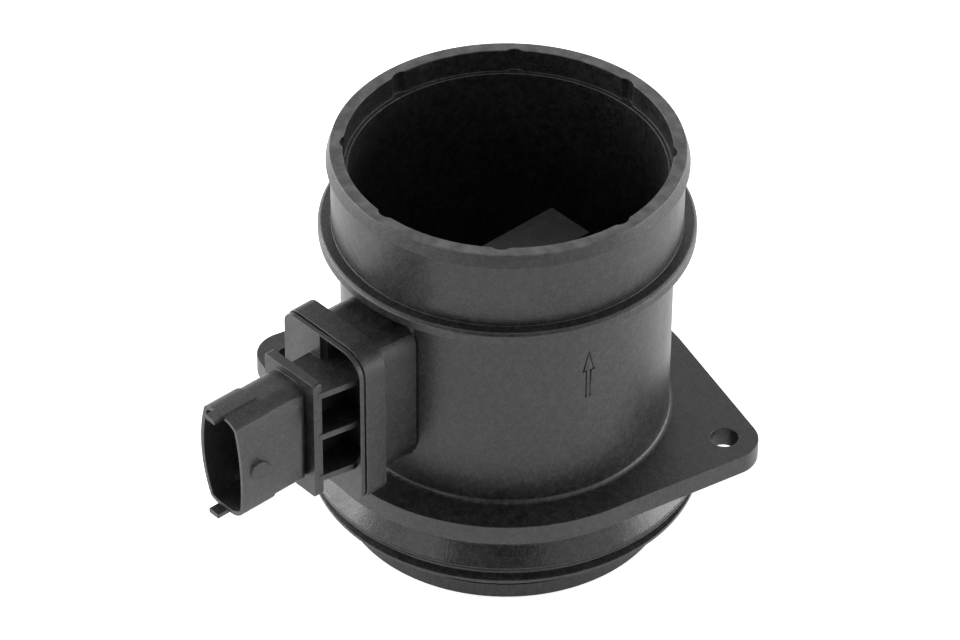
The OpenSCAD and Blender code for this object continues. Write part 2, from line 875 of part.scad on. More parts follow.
// Bonding wire that stands on two faces and arches between them
module bond_wire(y_a, x_a, y_b, x_b, z) {
    spring = max(x_a, x_b) + wire_lift;
    translate([x_a, y_a, z]) rotate([0, 90, 0]) cylinder(r = wire_r, h = spring - x_a, $fn = 24);
    translate([x_b, y_b, z]) rotate([0, 90, 0]) cylinder(r = wire_r, h = spring - x_b, $fn = 24);
    translate([spring, (y_a + y_b) / 2, z]) rotate([0, 0, -90]) rotate_extrude(angle = 180, $fn = 48)
        translate([(y_b - y_a) / 2, 0]) circle(wire_r, $fn = 24);
}

module terminal_wires() color(gold) {
    for (i = [1 : terminal_count])
        bond_wire(-terminal_end - 0.5, terminal_t / 2, board_start + 0.8, board_face,
                  axis_z + (i - (terminal_count + 1) / 2) * terminal_pitch);
}

module chip_wires() color(gold) {
    for (i = [1 : chip_wire_count])
        bond_wire(board_tongue_end - 0.5, board_face, chip_start + 0.4, holder_face,
                  arm_mid + (i - (chip_wire_count + 1) / 2) * chip_wire_pitch);
}

// Air temperature probe

module temperature_probe() color(chip_dark) {
    y = (probe_start + probe_end) / 2;
    translate([probe_x, y, arm_mid]) {
        rotate([90, 0, 0]) cylinder(r = probe_r, h = probe_len - 2 * probe_r, center = true);
        for (s = [-1, 1]) intersection() {
            translate([0, s * (probe_len / 2 - probe_r), 0]) sphere(probe_r);
            rotate([90, 0, 0]) cylinder(r = probe_r + over, h = probe_len - 0.6, center = true);
        }
    }
}

// Lead from one end of the probe to its bend, and from there through the floor to the board
module probe_lead(y_probe, y_bend) {
    low = min(y_probe, y_bend);
    translate([probe_x, low, arm_mid]) rotate([-90, 0, 0]) cylinder(r = lead_r, h = abs(y_bend - y_probe), $fn = 24);
    translate([probe_x, y_bend, arm_mid]) {
        sphere(lead_r, $fn = 24);
        rotate([0, 90, 0]) cylinder(r = lead_r, h = board_face + lead_tail - probe_x, $fn = 24);
    }
}

module probe_lead_outer() color(metal_grey)
    probe_lead((probe_start + probe_end) / 2 - probe_len / 2 + 0.3, probe_start + lead_inset);

module probe_lead_inner() color(metal_grey)
    probe_lead((probe_start + probe_end) / 2 + probe_len / 2 - 0.3, probe_end - lead_inset);

flow_housing();
inlet_seal();
end_ring();
inlet_screen();
flow_straightener();
module_body();
module_seal();
electronics_cover();
bypass_cover();
carrier_plate();
circuit_board();
evaluation_chip();
supply_capacitor();
signal_capacitor();
trim_resistor();
chip_holder();
sensor_chip();
terminal_wires();
chip_wires();
for (i = [1 : terminal_count]) terminal(i);
temperature_probe();
probe_lead_outer();
probe_lead_inner();
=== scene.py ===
"""Mass airflow sensor: the looks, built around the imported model.

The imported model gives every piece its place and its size. Each class here takes one sub-assembly,
rounds its moulded edges, builds what is finer than the solids, and dresses it in its finish.
Sizes are in millimetres in the classes and become metres where a mesh is made.
"""
from __future__ import annotations

import logging
import math
from dataclasses import dataclass
from enum import Enum

import bmesh
import bpy
from mathutils import Matrix, Vector
from mathutils.kdtree import KDTree

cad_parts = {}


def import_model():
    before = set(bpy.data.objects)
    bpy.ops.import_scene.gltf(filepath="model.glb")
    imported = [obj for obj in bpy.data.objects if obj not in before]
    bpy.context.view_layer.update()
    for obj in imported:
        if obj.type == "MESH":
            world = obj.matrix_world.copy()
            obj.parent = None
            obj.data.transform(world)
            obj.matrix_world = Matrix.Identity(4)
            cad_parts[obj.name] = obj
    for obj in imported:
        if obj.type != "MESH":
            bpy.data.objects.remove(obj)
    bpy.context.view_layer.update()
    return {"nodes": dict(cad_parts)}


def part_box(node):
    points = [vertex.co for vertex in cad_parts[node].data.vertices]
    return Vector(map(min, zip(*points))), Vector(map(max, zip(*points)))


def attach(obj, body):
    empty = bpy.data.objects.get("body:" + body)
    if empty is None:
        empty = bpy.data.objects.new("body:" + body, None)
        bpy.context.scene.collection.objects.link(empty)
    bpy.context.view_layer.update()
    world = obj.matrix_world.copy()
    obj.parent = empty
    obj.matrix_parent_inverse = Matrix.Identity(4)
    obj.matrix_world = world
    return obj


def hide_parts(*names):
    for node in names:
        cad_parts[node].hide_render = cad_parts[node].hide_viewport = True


LOG = logging.getLogger("airflow_sensor")
MM = 0.001
BODY = "root"
# Face attribute that lightens moulded faces: partly wear, partly painted highlight and painted light
WEAR_AND_HIGHLIGHT = "rub"
# How much rounded edges are lightened: partly wear, partly a painted highlight along the edge
EDGE_WEAR_AND_HIGHLIGHT = 0.4
# Half the width of a box that takes in the whole duct, and how near a corner is looked for, in millimetres
WIDE = 50.0
NEAR = 0.05
# How far a round's corners may lie from the inner edge that it replaces, in radii
HOLLOW_REACH = 1.6


class Slot(Enum):
    """The record's material slots."""

    HOUSING = "housing"
    MODULE = "module"
    RUBBER = "seal_rubber"
    STEEL = "steel"
    PLATE = "plate"
    CERAMIC = "ceramic"
    CHIP = "chip"
    WIRE = "wire"
    CONTACT = "contact"


class Weave(Enum):
    """The two ways that the wires of the inlet screen run, as their turn about the duct's axis."""

    WARP = 0.0
    WEFT = 90.0


def new_group(name: str, numbers: dict[str, float],
              output: str) -> tuple[bpy.types.ShaderNodeTree, bpy.types.NodeOutputs, bpy.types.NodeSocket]:
    """Makes a shader node group with a Vector input, inputs that are numbers, and one output.

    Args:
        name: the group's name.
        numbers: input name to default value.
        output: the output's name.

    Returns:
        The node tree, the sockets that give its inputs, and the socket that takes its result.
    """
    tree = bpy.data.node_groups.new(name, "ShaderNodeTree")
    face = tree.interface
    face.new_socket("Vector", in_out="INPUT", socket_type="NodeSocketVector")
    for label, default in numbers.items():
        face.new_socket(label, in_out="INPUT", socket_type="NodeSocketFloat").default_value = default
    face.new_socket(output, in_out="OUTPUT", socket_type="NodeSocketFloat")
    given = tree.nodes.new("NodeGroupInput").outputs
    return tree, given, tree.nodes.new("NodeGroupOutput").inputs[output]


def new_material(name: str) -> tuple[bpy.types.Material, bpy.types.ShaderNodeTree, bpy.types.Node]:
    """Makes a material with a Principled shader.

    Args:
        name: the material's name.

    Returns:
        The material, its node tree, and its Principled node.
    """
    material = bpy.data.materials.new(name)
    material.use_nodes = True
    tree = material.node_tree
    return material, tree, tree.nodes["Principled BSDF"]


def feed(tree: bpy.types.NodeTree, node: bpy.types.Node, sockets: dict) -> None:
    """Sets a node's inputs, or links them to what feeds them.

    Args:
        tree: the node tree.
        node: the node.
        sockets: input name or index to a value, or to the socket that feeds it.
    """
    for label, value in sockets.items():
        if isinstance(value, bpy.types.NodeSocket):
            tree.links.new(value, node.inputs[label])
        else:
            node.inputs[label].default_value = value


def add_node(tree: bpy.types.NodeTree, kind: str, sockets: dict | None = None, **settings) -> bpy.types.Node:
    """Places a node with its settings and its inputs.

    Args:
        tree: the node tree.
        kind: the node's type.
        sockets: input name or index to a value, or to the socket that feeds it.
        **settings: the node's own properties.

    Returns:
        The node.
    """
    node = tree.nodes.new(kind)
    for name, value in settings.items():
        setattr(node, name, value)
    feed(tree, node, sockets or {})
    return node


def math_node(tree: bpy.types.NodeTree, operation: str, *values) -> bpy.types.NodeSocket:
    """Places a math node.

    Args:
        tree: the node tree.
        operation: what it does with its values.
        *values: numbers, or the sockets that feed them.

    Returns:
        The socket with the result.
    """
    return add_node(tree, "ShaderNodeMath", dict(enumerate(values)), operation=operation).outputs[0]


def add_group(tree: bpy.types.ShaderNodeTree, group: bpy.types.ShaderNodeTree,
              **values) -> bpy.types.NodeSocket:
    """Places a shader group in a material.

    Args:
        tree: the material's node tree.
        group: the group to place.
        **values: socket name to a number, or to the socket that feeds it.

    Returns:
        The socket with the group's result.
    """
    return add_node(tree, "ShaderNodeGroup", values, node_tree=group).outputs[0]


def tinted(tree: bpy.types.ShaderNodeTree, colour: tuple[float, float, float],
           factor: bpy.types.NodeSocket) -> bpy.types.NodeSocket:
    """Makes a colour lighter and darker by a factor.

    Args:
        tree: the material's node tree.
        colour: the even colour.
        factor: the factor, around 1.

    Returns:
        The socket with the varied colour.
    """
    tint = add_node(tree, "ShaderNodeVectorMath", {0: colour, "Scale": factor}, operation="SCALE")
    return tint.outputs["Vector"]


def mix_colour(tree: bpy.types.ShaderNodeTree, mask: bpy.types.NodeSocket, under: bpy.types.NodeSocket,
               over: tuple[float, float, float]) -> bpy.types.NodeSocket:
    """Lays a plain colour over another by a mask.

    Args:
        tree: the material's node tree.
        mask: where the colour goes, 0 to 1.
        under: the colour below.
        over: the colour that is laid over it.

    Returns:
        The socket with the mixed colour.
    """
    mix = add_node(tree, "ShaderNodeMix", {"Factor": mask, "A": under, "B": (*over, 1.0)}, data_type="RGBA")
    return mix.outputs["Result"]


def bumped(tree: bpy.types.ShaderNodeTree, height: bpy.types.NodeSocket,
           depth: float) -> bpy.types.NodeSocket:
    """Turns a height into a normal.

    Args:
        tree: the material's node tree.
        height: the height, 0 to 1.
        depth: how deep 0 lies under 1, in metres.

    Returns:
        The socket with the normal.
    """
    return add_node(tree, "ShaderNodeBump", {"Height": height, "Distance": depth}).outputs["Normal"]


class ShaderGroups:
    """The effects that several finishes share, each built once."""

    def __init__(self) -> None:
        """Builds every group."""
        self.grain = self._build_grain()
        self.mottle = self._build_mottle()
        self.rubbing = self._build_wear_and_highlight()
        self.dust = self._build_dust()

    @staticmethod
    def _build_grain() -> bpy.types.ShaderNodeTree:
        """Builds the fine spark-eroded grain of a mould: two sizes of noise as one height.

        Returns:
            The group, with a Height output between 0 and 1.
        """
        tree, given, height = new_group("Mould grain", {"Scale": 2600.0, "Coarse share": 0.35}, "Height")
        spot, scale = given["Vector"], given["Scale"]
        wide = math_node(tree, "MULTIPLY", scale, 0.3)
        fine = add_node(tree, "ShaderNodeTexNoise", {"Vector": spot, "Scale": scale, "Detail": 2.0})
        coarse = add_node(tree, "ShaderNodeTexNoise", {"Vector": spot, "Scale": wide, "Detail": 1.0})
        blend = add_node(tree, "ShaderNodeMix", {
            "Factor": given["Coarse share"], "A": fine.outputs["Fac"], "B": coarse.outputs["Fac"]})
        tree.links.new(blend.outputs["Result"], height)
        return tree

    @staticmethod
    def _build_mottle() -> bpy.types.ShaderNodeTree:
        """Builds the faint cloudiness of moulded plastic, drawn out along the part's height.

        Returns:
            The group, with a Factor output around 1.
        """
        tree, given, factor = new_group("Flow mottle", {"Scale": 90.0, "Amount": 0.12}, "Factor")
        squeeze = add_node(tree, "ShaderNodeMapping", {"Vector": given["Vector"], "Scale": (1.0, 1.0, 0.45)})
        noise = add_node(tree, "ShaderNodeTexNoise", {
            "Vector": squeeze.outputs["Vector"], "Scale": given["Scale"], "Detail": 4.0, "Roughness": 0.6})
        spread = add_node(tree, "ShaderNodeMapRange", {
            "Value": noise.outputs["Fac"], "From Min": 0.3, "From Max": 0.7,
            "To Min": math_node(tree, "SUBTRACT", 1.0, given["Amount"]),
            "To Max": math_node(tree, "ADD", 1.0, given["Amount"])})
        tree.links.new(spread.outputs["Result"], factor)
        return tree

    @staticmethod
    def _build_wear_and_highlight() -> bpy.types.ShaderNodeTree:
        """Builds the lighter look of edges and marked faces, broken up by noise: partly wear, partly painted
        highlight.

        Returns:
            The group, with a Mask output between 0 and 1.
        """
        tree, given, mask = new_group("Edge rubbing", {"Edge": 0.0, "Scale": 260.0, "Cover": 0.5}, "Mask")
        softness = 0.3
        noise = add_node(tree, "ShaderNodeTexNoise", {
            "Vector": given["Vector"], "Scale": given["Scale"], "Detail": 3.0})
        level = math_node(tree, "SUBTRACT", 1.0, given["Cover"])
        cut = add_node(tree, "ShaderNodeMapRange", {
            "Value": noise.outputs["Fac"], "From Min": level,
            "From Max": math_node(tree, "ADD", level, softness), "To Min": 0.25})
        tree.links.new(math_node(tree, "MULTIPLY", cut.outputs["Result"], given["Edge"]), mask)
        return tree

    @staticmethod
    def _build_dust() -> bpy.types.ShaderNodeTree:
        """Builds sparse pale specks.

        Returns:
            The group, with a Mask output between 0 and 1.
        """
        tree, given, mask = new_group("Dust specks", {"Scale": 420.0, "Rarity": 0.86}, "Mask")
        speck_r = 0.13
        cells = add_node(tree, "ShaderNodeTexVoronoi", {"Vector": given["Vector"], "Scale": given["Scale"]})
        split = add_node(tree, "ShaderNodeSeparateColor", {"Color": cells.outputs["Color"]})
        near = math_node(tree, "LESS_THAN", cells.outputs["Distance"], speck_r)
        rare = math_node(tree, "GREATER_THAN", split.outputs["Red"], given["Rarity"])
        tree.links.new(math_node(tree, "MULTIPLY", near, rare), mask)
        return tree


@dataclass(frozen=True)
class Moulded:
    """A moulded finish: black plastic or rubber with grain, mottle, dust, and edges with wear and painted
    highlight.
    """

    name: str
    colour: tuple[float, float, float]
    roughness: float
    specular: float = 0.5
    grain_scale: float = 2000.0
    grain_depth: float = 0.07
    mottle: float = 0.12
    speckle: float = 0.034
    # Lighter colour on edges and marked faces: partly wear, partly painted highlight and painted light
    wear_and_highlight_colour: tuple[float, float, float] = (0.16, 0.16, 0.16)
    wear_and_highlight_cover: float = 0.5
    dust: float = 0.0
    dust_colour: tuple[float, float, float] = (0.3, 0.3, 0.29)
    fleck_from: float = 0.42
    fleck_full: float = 0.66

    def build(self, groups: ShaderGroups) -> bpy.types.Material:
        """Makes the material.

        Args:
            groups: the shared shader groups.

        Returns:
            The finished material.
        """
        material, tree, shader = new_material(self.name)
        spot = add_node(tree, "ShaderNodeTexCoord").outputs["Object"]
        mottle = add_group(tree, groups.mottle, Vector=spot, Amount=self.mottle)
        grain = add_group(tree, groups.grain, Vector=spot, Scale=self.grain_scale)
        flecks = add_node(tree, "ShaderNodeMapRange", {
            "Value": grain, "From Min": self.fleck_from, "From Max": self.fleck_full}).outputs["Result"]
        pale = tuple(c + self.speckle for c in self.colour)
        speckled = mix_colour(tree, flecks, tinted(tree, self.colour, mottle), pale)
        # Lightened edges and marked faces: partly wear, partly painted highlight and painted light
        edge = add_node(tree, "ShaderNodeAttribute", attribute_name=WEAR_AND_HIGHLIGHT).outputs["Fac"]
        wear_and_highlight_mask = add_group(tree, groups.rubbing, Vector=spot, Edge=edge, Cover=self.wear_and_highlight_cover)
        colour = mix_colour(tree, wear_and_highlight_mask, speckled, self.wear_and_highlight_colour)
        if self.dust:
            dust = add_group(tree, groups.dust, Vector=spot, Rarity=1.0 - self.dust)
            colour = mix_colour(tree, dust, colour, self.dust_colour)
        feed(tree, shader, {
            "Base Color": colour, "Roughness": math_node(tree, "MULTIPLY", mottle, self.roughness),
            "Specular IOR Level": self.specular, "Normal": bumped(tree, grain, self.grain_depth * MM)})
        return material


@dataclass(frozen=True)
class Metal:
    """A metal finish with fine drawing or rolling lines."""

    name: str
    colour: tuple[float, float, float]
    roughness: float
    lines: tuple[float, float, float] = (400.0, 4000.0, 4000.0)
    depth: float = 0.004
    mottle: float = 0.1
    mottle_scale: float = 300.0

    def build(self, groups: ShaderGroups) -> bpy.types.Material:
        """Makes the material.

        Args:
            groups: the shared shader groups.

        Returns:
            The finished material.
        """
        material, tree, shader = new_material(self.name)
        spot = add_node(tree, "ShaderNodeTexCoord").outputs["Object"]
        drawn = add_node(tree, "ShaderNodeMapping", {"Vector": spot, "Scale": self.lines}).outputs["Vector"]
        grain = add_group(tree, groups.grain, Vector=drawn, Scale=1.0)
        mottle = add_group(tree, groups.mottle, Vector=spot, Scale=self.mottle_scale, Amount=self.mottle)
        feed(tree, shader, {
            "Base Color": tinted(tree, self.colour, mottle), "Metallic": 1.0,
            "Roughness": math_node(tree, "MULTIPLY", mottle, self.roughness),
            "Normal": bumped(tree, grain, self.depth * MM)})
        return material


class Finishes:
    """Every finish of the part, by its slot."""

    def __init__(self) -> None:
        """Builds the groups and the materials."""
        groups = ShaderGroups()
        kinds = {
            Slot.HOUSING: Moulded("Housing black", (0.004, 0.004, 0.0041), 0.42, specular=0.5, mottle=0.1,
                                  wear_and_highlight_colour=(0.125, 0.125, 0.125), wear_and_highlight_cover=0.62, dust=0.004),
            Slot.MODULE: Moulded("Insert black", (0.009, 0.009, 0.0092), 0.44, specular=0.55,
                                 grain_scale=2300.0, wear_and_highlight_colour=(0.1, 0.1, 0.1)),
            Slot.RUBBER: Moulded("Seal rubber", (0.009, 0.009, 0.009), 0.32, specular=0.48, mottle=0.25,
                                 grain_scale=1800.0, wear_and_highlight_colour=(0.08, 0.08, 0.08)),
            Slot.STEEL: Metal("Drawn steel", (0.62, 0.62, 0.62), 0.3),
            Slot.PLATE: Metal("Rolled aluminium", (0.72, 0.73, 0.74), 0.35),
            Slot.CERAMIC: Moulded("Ceramic board", (0.72, 0.7, 0.63), 0.45, mottle=0.05, wear_and_highlight_cover=0.0),
            Slot.CHIP: Moulded("Component black", (0.02, 0.02, 0.024), 0.4, mottle=0.1),
            Slot.WIRE: Metal("Bonding gold", (0.83, 0.6, 0.22), 0.2),
            Slot.CONTACT: Metal("Tinned blade", (0.66, 0.66, 0.64), 0.32, lines=(4000.0, 400.0, 4000.0)),
        }
        self.materials = {slot: kind.build(groups) for slot, kind in kinds.items()}

    def dress(self, piece: bpy.types.Object, slot: Slot) -> None:
        """Puts one finish on a piece.

        Args:
            piece: the piece, new or of the CAD.
            slot: its finish.
        """
        piece.data.materials.clear()
        piece.data.materials.append(self.materials[slot])


@dataclass(frozen=True)
class Zone:
    """A region, in millimetres. Its edges get a rounding of their own, and radius 0 leaves them sharp."""

    low: tuple[float, float, float]
    high: tuple[float, float, float]
    radius: float = 0.0
    segments: int = 2
    ring: tuple[float, float] | None = None

    def _in_box(self, point: Vector) -> bool:
        """Tells whether a point, in millimetres, lies between the two corners."""
        return all(self.low[i] <= point[i] <= self.high[i] for i in range(3))

    def _in_ring(self, point: Vector) -> bool:
        """Tells whether a point, in millimetres, lies between the ring's radii, where there is a ring."""
        return self.ring is None or self.ring[0] <= math.hypot(point.x, point.y) <= self.ring[1]

    def covers(self, point: Vector) -> bool:
        """Tells whether a point, in millimetres, lies in the box and in the ring."""
        return self._in_box(point) and self._in_ring(point)

    def holds(self, edge: bmesh.types.BMEdge) -> bool:
        """Tells whether an edge lies in the zone: its middle in the box, and both ends in the ring.

        Args:
            edge: the edge, in metres.

        Returns:
            True where it lies in the zone.
        """
        first, last = (vert.co / MM for vert in edge.verts)
        return self._in_box((first + last) / 2) and self._in_ring(first) and self._in_ring(last)


def band(heights: tuple[float, float], radii: tuple[float, float]) -> Zone:
    """Gives the zone all round the duct between two heights and two radii, where edges stay sharp."""
    return Zone((-WIDE, -WIDE, heights[0]), (WIDE, WIDE, heights[1]), ring=radii)


@dataclass(frozen=True)
class Shift:
    """A move of the vertices in a zone, in millimetres, made before the rounding."""

    zone: Zone
    by: tuple[float, float, float]

    def apply(self, mesh: bpy.types.Mesh) -> None:
        """Moves the vertices that lie in the zone.

        Args:
            mesh: the mesh, in metres.
        """
        for vert in mesh.vertices:
            if self.zone.covers(vert.co / MM):
                vert.co += Vector(self.by) * MM


@dataclass
class Rounding:
    """How a moulded node's edges are rounded: the radius, the least angle, and the zones apart.

    Corners nearer than merge, in millimetres, become one, and faces within flat degrees of a plane too.
    """

    radius: float
    segments: int = 2
    angle: float = 38.0
    merge: float = 0.001
    flat: float = 0.5
    zones: tuple[Zone, ...] = ()

    def _edges(self, work: bmesh.types.BMesh) -> list[bmesh.types.BMEdge]:
        """Lists the mesh's edges that turn more than the least angle."""
        limit = math.radians(self.angle)
        return [e for e in work.edges if e.is_manifold and e.calc_face_angle(0.0) > limit]

    def apply(self, mesh: bpy.types.Mesh) -> None:
        """Rounds a mesh in place; its rounds get wear and painted highlight through WEAR_AND_HIGHLIGHT.

        Args:
            mesh: the mesh, in metres. Its loose triangles are merged first.
        """
        work = bmesh.new()
        work.from_mesh(mesh)
        layer = work.faces.layers.float.new(WEAR_AND_HIGHLIGHT)
        bmesh.ops.remove_doubles(work, verts=work.verts, dist=self.merge * MM)
        bmesh.ops.dissolve_limit(work, angle_limit=math.radians(self.flat), verts=work.verts,
                                 edges=work.edges)
        for zone in self.zones:
            if zone.radius:
                picked = [e for e in self._edges(work) if zone.holds(e)]
                self._bevel(work, picked, zone.radius, zone.segments)
        rest = [e for e in self._edges(work) if not any(zone.holds(e) for zone in self.zones)]
        hollow = [vert.co.copy() for edge in rest if not edge.is_convex for vert in edge.verts]
        # The outer rounds are lightened: partly wear, partly a painted highlight along the edge
        for face in self._bevel(work, rest, self.radius, self.segments):
            face[layer] = EDGE_WEAR_AND_HIGHLIGHT
        self._clean_hollows(work, layer, hollow)
        work.to_mesh(mesh)
        work.free()

    def _clean_hollows(self, work: bmesh.types.BMesh, layer: bmesh.types.BMLayerItem,
                       hollow: list[Vector]) -> None:
        """Takes the wear and painted highlight off the rounds in the inner corners, where nothing rubs.

        Args:
            work: the rounded mesh.
            layer: its layer of wear and painted highlight.
            hollow: the ends of the inner edges before they were rounded, in metres.
        """
        tree = KDTree(max(1, len(hollow)))
        for i, spot in enumerate(hollow):
            tree.insert(spot, i)
        tree.balance()
        reach = HOLLOW_REACH * self.radius * MM
        for face in work.faces:
            if hollow and face[layer] and all(tree.find(vert.co)[2] < reach for vert in face.verts):
                face[layer] = 0.0

    @staticmethod
    def _bevel(work: bmesh.types.BMesh, edges: list[bmesh.types.BMEdge], radius: float,
               segments: int) -> list[bmesh.types.BMFace]:
        """Rounds edges.

        Args:
            work: the mesh that holds them.
            edges: the edges.
            radius: how far the round reaches from the edge, in millimetres.
            segments: how many faces it has across.

        Returns:
            The new faces.
        """
        made = bmesh.ops.bevel(work, geom=edges, offset=radius * MM, offset_type="OFFSET", segments=segments,
                               profile=0.5, affect="EDGES", clamp_overlap=False, harden_normals=False)
        return made["faces"]


def rounded_outline(corners: list[tuple[float, float, float]], steps: int = 4) -> list[Vector]:
    """Rounds the corners of a closed outline.

    Args:
        corners: radius from the axis, height, and corner radius of each corner, in millimetres.
        steps: how many chords a rounded corner has.

    Returns:
        The outline's points as (radius, height).
    """
    points = []
    for i, (r, z, bend) in enumerate(corners):
        here = Vector((r, z))
        if bend == 0:
            points.append(here)
            continue
        back = (Vector(corners[i - 1][:2]) - here).normalized()
        on = (Vector(corners[(i + 1) % len(corners)][:2]) - here).normalized()
        half = math.acos(max(-1.0, min(1.0, back.dot(on)))) / 2
        centre = here + (back + on).normalized() * bend / math.sin(half)
        start = here + back * bend / math.tan(half) - centre
        end = here + on * bend / math.tan(half) - centre
        points += [centre + start.slerp(end, k / steps) * bend for k in range(steps + 1)]
    return points


def lathe(name: str, outline: list[Vector], segments: int = 288) -> bpy.types.Object:
    """Turns a closed outline about the duct's axis.

    Args:
        name: the new piece's name.
        outline: its points as (radius, height), in millimetres.
        segments: how many faces go round.

    Returns:
        The new object, linked to the scene.
    """
    work = bmesh.new()
    work.faces.layers.float.new(WEAR_AND_HIGHLIGHT)
    rings = []
    for k in range(segments):
        turn = 2 * math.pi * k / segments
        rings.append([work.verts.new((p.x * math.cos(turn) * MM, p.x * math.sin(turn) * MM, p.y * MM))
                      for p in outline])
    count = len(outline)
    for k, ring in enumerate(rings):
        after = rings[(k + 1) % segments]
        for i in range(count):
            j = (i + 1) % count
            work.faces.new((ring[i], ring[j], after[j], after[i]))
    bmesh.ops.recalc_face_normals(work, faces=work.faces)
    mesh = bpy.data.meshes.new(name)
    work.to_mesh(mesh)
    work.free()
    return link(name, mesh)


def link(name: str, data: bpy.types.ID) -> bpy.types.Object:
    """Puts a mesh, a lamp or a camera in the scene as a new object at the origin.

    Args:
        name: the new object's name.
        data: what it holds.

    Returns:
        The new object.
    """
    item = bpy.data.objects.new(name, data)
    bpy.context.scene.collection.objects.link(item)
    return item


def mark_wear_and_painted_light(piece: bpy.types.Object, zone: Zone, amount: float) -> None:
    """Lightens the faces whose corners all lie in a zone: wear, painted highlight and painted light.

    Args:
        piece: a piece that has the WEAR_AND_HIGHLIGHT attribute.
        zone: where the faces lie.
        amount: how much they are lightened, 0 to 1.
    """
    values = piece.data.attributes[WEAR_AND_HIGHLIGHT].data
    inside = [zone.covers(vert.co / MM) for vert in piece.data.vertices]
    for face in piece.data.polygons:
        if all(inside[i] for i in face.vertices):
            values[face.index].value = amount


def smooth(piece: bpy.types.Object, angle: float = 42.0) -> None:
    """Shades a piece smooth up to an angle, with normals that keep its flat faces flat.

    Args:
        piece: the mesh object.
        angle: the angle over which an edge stays sharp, in degrees.
    """
    piece.data.shade_smooth()
    piece.data.set_sharp_from_angle(angle=math.radians(angle))
    weigh = piece.modifiers.new("Flat faces", "WEIGHTED_NORMAL")
    weigh.keep_sharp = True
    weigh.weight = 80


@dataclass
class WovenScreen:
    """The woven wires of the inlet screen, repeated by Geometry Nodes. Sizes in millimetres."""

    reach: float
    height: float
    wires: int = 12
    pitch: float = 6.2
    wire_r: float = 0.24
    swing: float = 0.16

    def weave(self, piece: bpy.types.Object, material: bpy.types.Material) -> None:
        """Adds the wires to a piece and turns the result into its plain mesh.

        Args:
            piece: the screen's rim.
            material: the wires' material.
        """
        tree = self._tree()
        values = {"Wires": self.wires, "Pitch": self.pitch * MM, "Reach": self.reach * MM,
                  "Wire radius": self.wire_r * MM, "Swing": self.swing * MM, "Height": self.height * MM,
                  "Material": material}
        modifier = piece.modifiers.new("Weave", "NODES")
        modifier.node_group = tree
        for item in tree.interface.items_tree:
            if item.in_out == "INPUT" and item.name in values:
                modifier[item.identifier] = values[item.name]
        piece.update_tag()
        done = piece.evaluated_get(bpy.context.evaluated_depsgraph_get())
        mesh = bpy.data.meshes.new_from_object(done)
        piece.modifiers.remove(modifier)
        piece.data = mesh

    def _tree(self) -> bpy.types.GeometryNodeTree:
        """Builds the node tree: a row of wires, waved in turn, laid both ways and joined to the rim.

        Returns:
            The geometry node group.
        """
        tree = bpy.data.node_groups.new("Woven wires", "GeometryNodeTree")
        face = tree.interface
        face.new_socket("Geometry", in_out="INPUT", socket_type="NodeSocketGeometry")
        face.new_socket("Wires", in_out="INPUT", socket_type="NodeSocketInt")
        for label in ("Pitch", "Reach", "Wire radius", "Swing", "Height"):
            face.new_socket(label, in_out="INPUT", socket_type="NodeSocketFloat")
        face.new_socket("Material", in_out="INPUT", socket_type="NodeSocketMaterial")
        face.new_socket("Geometry", in_out="OUTPUT", socket_type="NodeSocketGeometry")
        start, end = tree.nodes.new("NodeGroupInput"), tree.nodes.new("NodeGroupOutput")
        wires = self._waved(tree, start.outputs, self._row(tree, start.outputs))
        join = tree.nodes.new("GeometryNodeJoinGeometry")
        tree.links.new(start.outputs["Geometry"], join.inputs["Geometry"])
        lift = add_node(tree, "ShaderNodeCombineXYZ", {"Z": start.outputs["Height"]})
        for way in Weave:
            turn = (0.0, 0.0, math.radians(way.value))
            laid = add_node(tree, "GeometryNodeTransform", {
                "Geometry": wires, "Translation": lift.outputs[0], "Rotation": turn})
            tree.links.new(laid.outputs["Geometry"], join.inputs["Geometry"])
        solid = add_node(tree, "GeometryNodeRealizeInstances", {"Geometry": join.outputs["Geometry"]})
        dressed = add_node(tree, "GeometryNodeSetMaterial", {
            "Geometry": solid.outputs["Geometry"], "Material": start.outputs["Material"]})
        tree.links.new(dressed.outputs["Geometry"], end.inputs["Geometry"])
        return tree

    @staticmethod
    def _row(tree: bpy.types.GeometryNodeTree, given: bpy.types.NodeOutputs) -> bpy.types.NodeSocket:
        """Builds the row of straight wires, each as long as the rim is wide at its place.

        Args:
            tree: the node tree.
            given: the group's inputs.

        Returns:
            The socket with the wires as curves, each with its parity.
        """
        span = math_node(tree, "MULTIPLY", math_node(tree, "SUBTRACT", given["Wires"], 1.0), given["Pitch"])
        first = add_node(tree, "ShaderNodeCombineXYZ", {"X": math_node(tree, "MULTIPLY", span, -0.5)})
        step = add_node(tree, "ShaderNodeCombineXYZ", {"X": given["Pitch"]})
        spots = add_node(tree, "GeometryNodeMeshLine", {
            "Count": given["Wires"], "Start Location": first.outputs[0], "Offset": step.outputs[0]})
        where = add_node(tree, "GeometryNodeInputPosition")
        x = add_node(tree, "ShaderNodeSeparateXYZ", {"Vector": where.outputs[0]}).outputs["X"]
        reach_sq, x_sq = (math_node(tree, "MULTIPLY", length, length) for length in (given["Reach"], x))
        half = math_node(tree, "SQRT", math_node(tree, "SUBTRACT", reach_sq, x_sq))
        size = add_node(tree, "ShaderNodeCombineXYZ", {"X": 1.0, "Y": half, "Z": 1.0})
        line = add_node(tree, "GeometryNodeCurvePrimitiveLine", {
            "Start": (0.0, -1.0, 0.0), "End": (0.0, 1.0, 0.0)})
        row = add_node(tree, "GeometryNodeInstanceOnPoints", {
            "Points": spots.outputs["Mesh"], "Instance": line.outputs["Curve"], "Scale": size.outputs[0]})
        index = add_node(tree, "GeometryNodeInputIndex")
        parity = math_node(tree, "MODULO", index.outputs[0], 2.0)
        marked = add_node(tree, "GeometryNodeStoreNamedAttribute", {
            "Geometry": row.outputs["Instances"], "Name": "parity", "Value": parity}, domain="INSTANCE")
        return add_node(tree, "GeometryNodeRealizeInstances", {
            "Geometry": marked.outputs["Geometry"]}).outputs["Geometry"]

